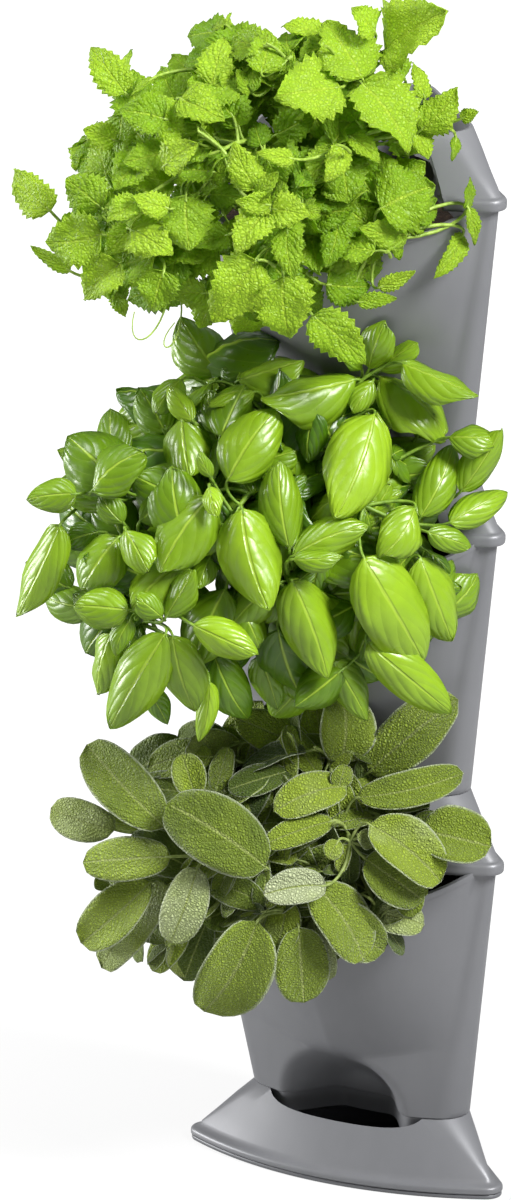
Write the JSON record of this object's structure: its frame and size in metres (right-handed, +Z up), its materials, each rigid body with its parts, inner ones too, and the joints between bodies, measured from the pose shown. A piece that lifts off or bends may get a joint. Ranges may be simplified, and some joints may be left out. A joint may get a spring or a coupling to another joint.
{
  "type": "vertical planter tower",
  "caption": "Stacking corner planter tower with lift-off lids, front planting pockets, a drip base and growing herbs.",
  "frame": {"origin": "on the floor under the tray, in the middle of the chord between the two front corners", "axes": "+Z up the tower, -Y towards the front pockets, the back corner towards +Y"},
  "size_m": [0.3069, 0.2717, 0.6715],
  "materials": {
    "tower_plastic": "satin silver grey",
    "tray_plastic": "satin silver grey",
    "compost": "crumbly dark compost",
    "sage_leaf": "downy pebbled leaf",
    "basil_leaf": "glossy smooth leaf",
    "lemon_balm_leaf": "soft netted leaf"
  },
  "bodies": {
    "drip_tray": {"drip_tray": "tray_plastic"},
    "base_cover": {"base_cover": "tower_plastic"},
    "pot_1": {"pot_1": "tower_plastic", "compost_1": "compost", "sage_sprig_1": "sage_leaf", "sage_sprig_2": "sage_leaf", "sage_sprig_3": "sage_leaf", "sage_sprig_4": "sage_leaf", "sage_sprig_5": "sage_leaf", "sage_sprig_6": "sage_leaf", "sage_sprig_7": "sage_leaf", "sage_sprig_8": "sage_leaf", "sage_sprig_9": "sage_leaf"},
    "lid_1": {"lid_1": "tower_plastic"},
    "pot_2": {"pot_2": "tower_plastic", "compost_2": "compost", "basil_sprig_1": "basil_leaf", "basil_sprig_2": "basil_leaf", "basil_sprig_3": "basil_leaf", "basil_sprig_4": "basil_leaf", "basil_sprig_5": "basil_leaf", "basil_sprig_6": "basil_leaf", "basil_sprig_7": "basil_leaf", "basil_sprig_8": "basil_leaf", "basil_sprig_9": "basil_leaf"},
    "lid_2": {"lid_2": "tower_plastic"},
    "pot_3": {"pot_3": "tower_plastic", "compost_3": "compost", "lemon_balm_sprig_1": "lemon_balm_leaf", "lemon_balm_sprig_2": "lemon_balm_leaf", "lemon_balm_sprig_3": "lemon_balm_leaf", "lemon_balm_sprig_4": "lemon_balm_leaf", "lemon_balm_sprig_5": "lemon_balm_leaf", "lemon_balm_sprig_6": "lemon_balm_leaf", "lemon_balm_sprig_7": "lemon_balm_leaf", "lemon_balm_sprig_8": "lemon_balm_leaf", "lemon_balm_sprig_9": "lemon_balm_leaf", "lemon_balm_sprig_10": "lemon_balm_leaf"},
    "lid_3": {"lid_3": "tower_plastic"}
  },
  "joints": [
    {"name": "cover_lift", "type": "slide", "parent": "drip_tray", "child": "base_cover", "axis": [0, 0, 1], "range_m": [0, 0.04]},
    {"name": "pot_1_lift", "type": "slide", "parent": "base_cover", "child": "pot_1", "axis": [0, 0, 1], "range_m": [0, 0.04]},
    {"name": "lid_1_lift", "type": "slide", "parent": "pot_1", "child": "lid_1", "axis": [0, 0, 1], "range_m": [0, 0.04]},
    {"name": "pot_2_lift", "type": "slide", "parent": "lid_1", "child": "pot_2", "axis": [0, 0, 1], "range_m": [0, 0.04]},
    {"name": "lid_2_lift", "type": "slide", "parent": "pot_2", "child": "lid_2", "axis": [0, 0, 1], "range_m": [0, 0.04]},
    {"name": "pot_3_lift", "type": "slide", "parent": "lid_2", "child": "pot_3", "axis": [0, 0, 1], "range_m": [0, 0.04]},
    {"name": "lid_3_lift", "type": "slide", "parent": "pot_3", "child": "lid_3", "axis": [0, 0, 1], "range_m": [0, 0.04]}
  ]
}
